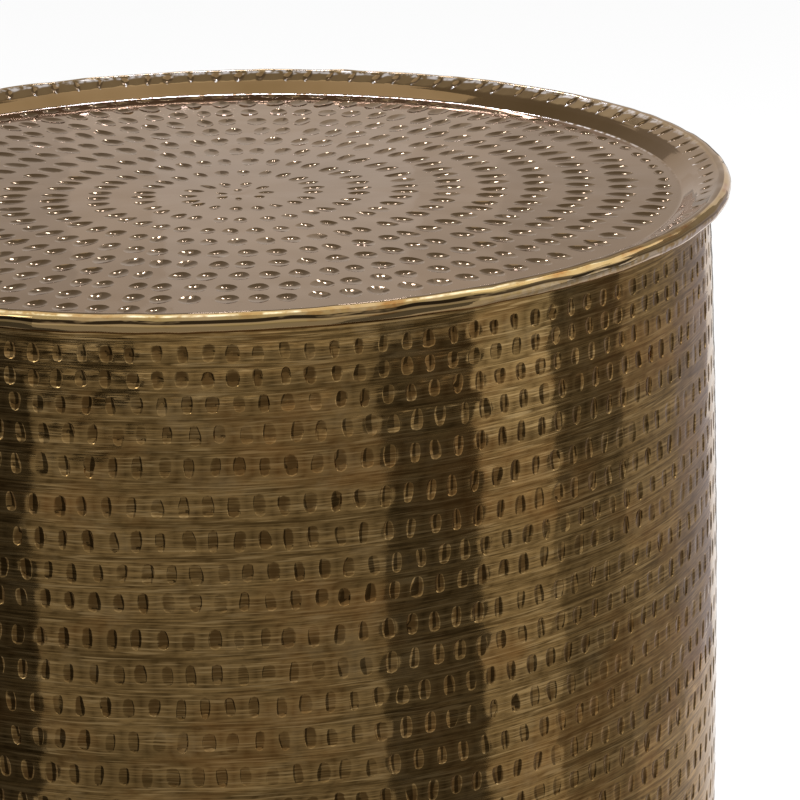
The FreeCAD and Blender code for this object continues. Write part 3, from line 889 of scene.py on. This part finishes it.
def tray_brass():
    """Antique brass of the tray: smoother than the wall, brown in the marks, gold where the rim is worn, with
    painted highlights and painted shade on the rim.
    """
    look = Finish("antique_brass_tray")
    fine = look.noise((600, 600, 600), 3, 0.6)
    cloud = look.noise((11, 11, 11), 4, 0.6)
    streak = look.noise((30, 30, 60), 5, 0.7)
    patch = look.noise((70, 70, 140), 4, 0.6)
    breaks = look.noise((45, 45, 260), 3, 0.6)
    speck = look.noise((330, 330, 330), 2, 0.5)
    dent = look.attribute("dent")
    worn = look.attribute("worn")
    tone = look.blend(look.spread(cloud, 0.35, 0.65), (0.13, 0.08, 0.034, 1), (0.17, 0.107, 0.05, 1))
    tone = look.blend(look.spread(dent, 0.0, 0.12, 0.0, 0.25), tone, (0.034, 0.026, 0.018, 1))
    # lighter brass where worn, and painted light on the roll's side, its inner top and the shelf at the back
    tone = look.blend(look.spread(worn, 0.0, 0.4), tone, (0.38, 0.265, 0.13, 1))
    gold = look.blend(look.spread(streak, 0.50, 0.66), (0.36, 0.25, 0.10, 1), (0.24, 0.10, 0.025, 1))
    # Gold where the rim is worn and as painted highlight, pale streaks of painted highlight on its crest,
    # painted shade along the seam, and near-white painted highlights
    for place, pattern, colour in (
        (look.spread(worn, 0.45, 0.8), look.spread(patch, 0.35, 0.50), gold),
        # painted highlight: pale streaks on the crest's core
        (look.spread(worn, 0.84, 1.0), look.spread(streak, 0.53, 0.45, 0.0, 0.7), (0.88, 0.77, 0.52, 1)),
        # painted shade: the dark line along the seam
        (look.spread(dent, 1.3, 2.0), look.spread(breaks, 0.64, 0.54), (0.03, 0.019, 0.009, 1)),
        # near-white painted highlights
        (look.attribute("polish"), look.spread(speck, 0.40, 0.60), (0.95, 0.91, 0.92, 1)),
    ):
        tone = look.blend(look.times(place, pattern), tone, colour)
    sheen = look.blend(look.spread(dent, 0.0, 0.12), (1, 0.9, 0.83, 1), (0.95, 0.86, 0.79, 1))
    look.set(Base_Color=tone, Specular_Tint=sheen, Metallic=1.0,
             Roughness=look.spread(fine, 0.3, 0.7, 0.04, 0.07))
    look.bump(fine, 0.000006)
    return look.material


def bronzed_steel():
    """Dull, dark steel of the ledge and the base ring."""
    look = Finish("bronzed_steel")
    cloud = look.noise((60, 60, 60), 5, 0.6)
    look.set(Base_Color=look.blend(cloud, (0.05, 0.036, 0.022, 1), (0.10, 0.072, 0.042, 1)), Metallic=0.6,
             Roughness=look.spread(cloud, 0.3, 0.7, 0.38, 0.55))
    look.bump(look.noise((900, 900, 900), 2), 0.00003)
    return look.material


def stained_board():
    """Dark stained wood of the base, with its grain along one axis."""
    look = Finish("stained_board")
    grain = look.noise((9, 160, 160), 6, 0.6)
    rings = look.noise((2, 26, 26), 3, 0.5)
    tone = look.blend(look.spread(grain, 0.3, 0.7), (0.055, 0.028, 0.014, 1), (0.15, 0.08, 0.04, 1))
    tone = look.blend(look.spread(rings, 0.4, 0.7, 0, 0.5), tone, (0.10, 0.05, 0.024, 1))
    look.set(Base_Color=tone, Roughness=0.55)
    look.bump(grain, 0.0002)
    return look.material


def plain_finish(name, dark, light, scale, metallic, rough, bump):
    """A finish of two close tones in a fine grain, for small parts."""
    look = Finish(name)
    grain = look.noise((scale, scale, scale), 4, 0.6)
    look.set(Base_Color=look.blend(look.spread(grain, 0.3, 0.7), dark, light), Metallic=metallic,
             Roughness=look.spread(grain, 0.3, 0.7, rough * 0.85, rough * 1.15))
    look.bump(grain, bump)
    return look.material


def bare_material(name):
    """A material without a shader, and its node graph."""
    material = bpy.data.materials.new(name)
    material.use_nodes = True
    tree = material.node_tree
    tree.nodes.remove(tree.nodes["Principled BSDF"])
    return material, tree


def glow(name, colour, strength):
    """A plain studio surface that gives its own light, seen in the metal."""
    material, tree = bare_material(name)
    light = tree.nodes.new("ShaderNodeEmission")
    light.inputs["Color"].default_value = colour
    light.inputs["Strength"].default_value = strength
    tree.links.new(light.outputs[0], tree.nodes["Material Output"].inputs["Surface"])
    return material


def seen_share(tree):
    """One for rays from the camera, in a reflection or through glass, and nothing for the rest."""
    rays = tree.nodes.new("ShaderNodeLightPath")
    share = rays.outputs["Is Camera Ray"]
    for other in ("Is Glossy Ray", "Is Transmission Ray"):
        larger = tree.nodes.new("ShaderNodeMath")
        larger.operation = "MAXIMUM"
        tree.links.new(share, larger.inputs[0])
        tree.links.new(rays.outputs[other], larger.inputs[1])
        share = larger.outputs[0]
    return share


def add_panel(name, corners, faces, material, camera=False):
    """A studio panel from its corners and faces. Unless the camera sees it, it shows only in the metal."""
    mesh = bpy.data.meshes.new(name)
    mesh.from_pydata(corners, [], faces)
    mesh.materials.append(material)
    panel = bpy.data.objects.new(name, mesh)
    bpy.context.scene.collection.objects.link(panel)
    panel.visible_camera = camera
    if not camera:
        panel.visible_diffuse = False
        panel.visible_shadow = False


def add_card(name, start, end, bottom, top, level, tint=WARM_GREY):
    """A grey card round the drum, from and to in degrees from the front to the right.

    A card from the floor has a mat before it, and one from just above the floor a shorter mat.
    """
    angle = np.radians(np.linspace(start, end, CARD_COLUMNS))
    rows = [(CARD_RING, bottom), (CARD_RING, top)]
    if bottom == 0:
        rows.insert(0, (MAT_START, MAT_HEIGHT))
    elif bottom < LOW_CARD:
        rows.insert(0, (SHORT_MAT_START, SHORT_MAT_HEIGHT))
    corners = [(r * np.sin(t), -r * np.cos(t), z) for r, z in rows for t in angle]
    first = [CARD_COLUMNS * row + i for row in range(len(rows) - 1) for i in range(CARD_COLUMNS - 1)]
    faces = [(i, i + 1, i + CARD_COLUMNS + 1, i + CARD_COLUMNS) for i in first]
    add_panel(name, corners, faces, glow(name, (*tint, 1), level))


def add_floor():
    """A pale floor that keeps the object's shadow: a diffuse part, and a white part for rays that see it."""
    material, tree = bare_material("studio_floor")
    paper = tree.nodes.new("ShaderNodeBsdfDiffuse")
    paper.inputs["Color"].default_value = PAPER_GREY
    white = tree.nodes.new("ShaderNodeEmission")
    scale = tree.nodes.new("ShaderNodeMath")
    scale.operation = "MULTIPLY"
    scale.inputs[1].default_value = PAPER_GLOW
    tree.links.new(seen_share(tree), scale.inputs[0])
    tree.links.new(scale.outputs[0], white.inputs["Strength"])
    both = tree.nodes.new("ShaderNodeAddShader")
    tree.links.new(paper.outputs[0], both.inputs[0])
    tree.links.new(white.outputs[0], both.inputs[1])
    tree.links.new(both.outputs[0], tree.nodes["Material Output"].inputs["Surface"])
    corners = [(PAPER_HALF * x, PAPER_HALF * y, 0) for x, y in ((-1, -1), (1, -1), (1, 1), (-1, 1))]
    add_panel("studio_floor", corners, [(0, 1, 2, 3)], material, camera=True)


def add_world():
    """White for the rays that see the background, a softer white for the light it gives."""
    world = bpy.data.worlds.new("studio")
    bpy.context.scene.world = world
    world.use_nodes = True
    tree = world.node_tree
    background = tree.nodes["Background"]
    background.inputs["Color"].default_value = (1, 1, 1, 1)
    level = tree.nodes.new("ShaderNodeMapRange")
    level.inputs["To Min"].default_value = WORLD_LIGHT
    level.inputs["To Max"].default_value = WORLD_SEEN
    tree.links.new(seen_share(tree), level.inputs["Value"])
    tree.links.new(level.outputs[0], background.inputs["Strength"])


def add_lamp(name, place, target, size, power, colour):
    """A soft box that faces a target."""
    data = bpy.data.lights.new(name, "AREA")
    data.shape = "RECTANGLE"
    data.size, data.size_y = size
    data.energy = power
    data.color = colour
    lamp = bpy.data.objects.new(name, data)
    bpy.context.scene.collection.objects.link(lamp)
    back = np.array(place, float) - np.array(target, float)
    back /= np.linalg.norm(back)
    side = np.cross((0, 0, 1), back)
    side /= np.linalg.norm(side)
    turn = Matrix(np.stack([side, np.cross(back, side), back], axis=1).tolist())
    lamp.location = place
    lamp.rotation_euler = turn.to_euler()


def add_camera():
    """The photograph's view, found from the rim, the tray's edge and the rows of marks."""
    ahead = np.array([
        np.sin(CAMERA_YAW) * np.cos(CAMERA_PITCH),
        np.cos(CAMERA_YAW) * np.cos(CAMERA_PITCH),
        -np.sin(CAMERA_PITCH),
    ])
    level_side = np.array([np.cos(CAMERA_YAW), -np.sin(CAMERA_YAW), 0.0])
    level_up = np.cross(level_side, ahead)
    side = np.cos(CAMERA_ROLL) * level_side + np.sin(CAMERA_ROLL) * level_up
    up = np.cos(CAMERA_ROLL) * level_up - np.sin(CAMERA_ROLL) * level_side
    data = bpy.data.cameras.new("photo_view")
    data.sensor_width = SENSOR_MM
    data.lens = SENSOR_MM * FOCAL_PIXELS / PICTURE_PIXELS
    data.clip_start = 0.05
    camera = bpy.data.objects.new("photo_view", data)
    bpy.context.scene.collection.objects.link(camera)
    camera.location = CAMERA_PLACE
    camera.rotation_euler = Matrix(np.stack([side, up, -ahead], axis=1).tolist()).to_euler()
    bpy.context.scene.camera = camera


wall_finish = wall_brass()
tray_finish = tray_brass()
add_wall(wall_finish)
add_tray_floor(tray_finish)
add_tray_rim(tray_finish)
add_pads(plain_finish("felt", (0.05, 0.05, 0.052, 1), (0.11, 0.11, 0.115, 1), 1500, 0.0, 0.9, 0.0003))

steel = bronzed_steel()
zinc = plain_finish("zinc_steel", (0.42, 0.42, 0.43, 1), (0.58, 0.58, 0.58, 1), 400, 1.0, 0.35, 0.00002)
wire = plain_finish("steel_wire", (0.30, 0.30, 0.30, 1), (0.42, 0.42, 0.42, 1), 300, 1.0, 0.4, 0.00002)
rubber = plain_finish(
    "black_rubber", (0.012, 0.012, 0.013, 1), (0.03, 0.03, 0.031, 1), 900, 0.0, 0.7, 0.00008)
kept_finishes = {
    "rim_wire": wire,
    "tray_ledge": steel,
    "base_ring": steel,
    "base_panel": stained_board(),
    "rubber_feet": rubber,
    "foot_washers": zinc,
    "foot_screws": zinc,
}
for node, finish in kept_finishes.items():
    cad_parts[node].data.materials.clear()
    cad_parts[node].data.materials.append(finish)

add_floor()
add_world()
for number, card in enumerate(STUDIO_CARDS):
    add_card(f"studio_card_{number + 1}", *card)
for lamp in STUDIO_LAMPS:
    add_lamp(*lamp)
add_camera()

scene = bpy.context.scene
scene.view_settings.view_transform = "Standard"
